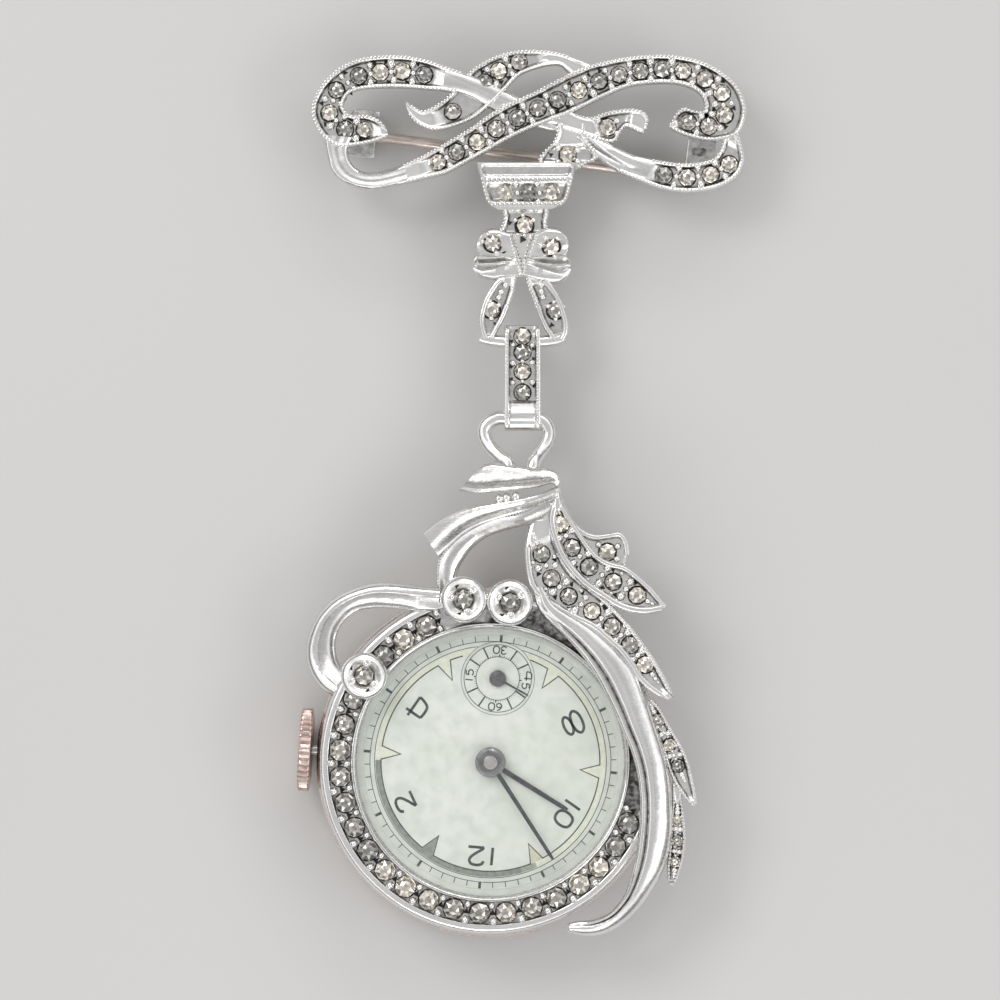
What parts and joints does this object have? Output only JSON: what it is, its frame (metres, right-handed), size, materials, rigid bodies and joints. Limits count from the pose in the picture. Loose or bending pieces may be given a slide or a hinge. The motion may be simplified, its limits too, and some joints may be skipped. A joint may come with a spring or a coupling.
{
  "type": "chatelaine watch pin",
  "caption": "Silver fob watch hanging from a scrolled brooch by a bow and a folded link, set with faceted stones, with leaf and ribbon scrollwork round the bezel.",
  "frame": {"origin": "middle of the whole piece as it lies on its back, at the height of the surface it lies on", "axes": "+Y from the watch up to the brooch, +X to the right of the set face, +Z from the surface out through the watch glass"},
  "size_m": [0.0365, 0.0722, 0.0086],
  "materials": {
    "silver": "polished and darkened in the recesses",
    "marcasite": "faceted, metallic shine",
    "pin_metal": "worn satin",
    "works": "plain",
    "dial_paint": "satin silvered",
    "watch_glass": "clear polished",
    "hand_steel": "dark oxidised",
    "stem_steel": "turned",
    "rose_plate": "rose plated, worn"
  },
  "bodies": {
    "root": {"brooch_frame": "silver", "brooch_stones": "marcasite", "bow_stones": "marcasite", "link": "silver", "link_stones": "marcasite", "bezel": "silver", "bezel_stones": "marcasite", "scroll_stones": "marcasite", "case": "silver", "movement": "works", "dial": "dial_paint", "crystal": "watch_glass"},
    "pin": {"pin_stem": "pin_metal"},
    "catch": {"catch_lever": "silver"},
    "hour": {"hour_hand": "hand_steel"},
    "minute": {"minute_hand": "hand_steel"},
    "seconds": {"seconds_hand": "hand_steel"},
    "stem": {"winding_stem": "stem_steel"},
    "crown": {"crown": "rose_plate"}
  },
  "joints": [
    {"name": "pin_swing", "type": "hinge", "parent": "root", "child": "pin", "pos_m": [-0.01283, 0.02945, 0.00115], "axis": [0.1323, 0.9912, 0], "range_deg": [0, 65]},
    {"name": "catch_turn", "type": "hinge", "parent": "root", "child": "catch", "pos_m": [0.01473, 0.02577, 0.00115], "axis": [0.9912, -0.1323, 0], "range_deg": [0, 150]},
    {"name": "minute_turn", "type": "hinge", "parent": "root", "child": "minute", "pos_m": [-0.00244, -0.02162, 0.0062], "axis": [0, 0, -1], "continuous": true},
    {"name": "hour_turn", "type": "hinge", "parent": "root", "child": "hour", "pos_m": [-0.00244, -0.02162, 0.006], "axis": [0, 0, -1], "continuous": true},
    {"name": "seconds_turn", "type": "hinge", "parent": "root", "child": "seconds", "pos_m": [-0.00185, -0.01489, 0.0058], "axis": [0, 0, -1], "continuous": true},
    {"name": "stem_pull", "type": "slide", "parent": "root", "child": "stem", "axis": [-0.9981, 0.061, 0], "range_m": [0, 0.0007]},
    {"name": "crown_turn", "type": "hinge", "parent": "stem", "child": "crown", "pos_m": [-0.01741, -0.02071, 0.00355], "axis": [-0.9981, 0.061, 0], "continuous": true}
  ],
  "couplings": [
    {"joint": "hour_turn", "follows": "minute_turn", "ratio": 0.083333}
  ]
}
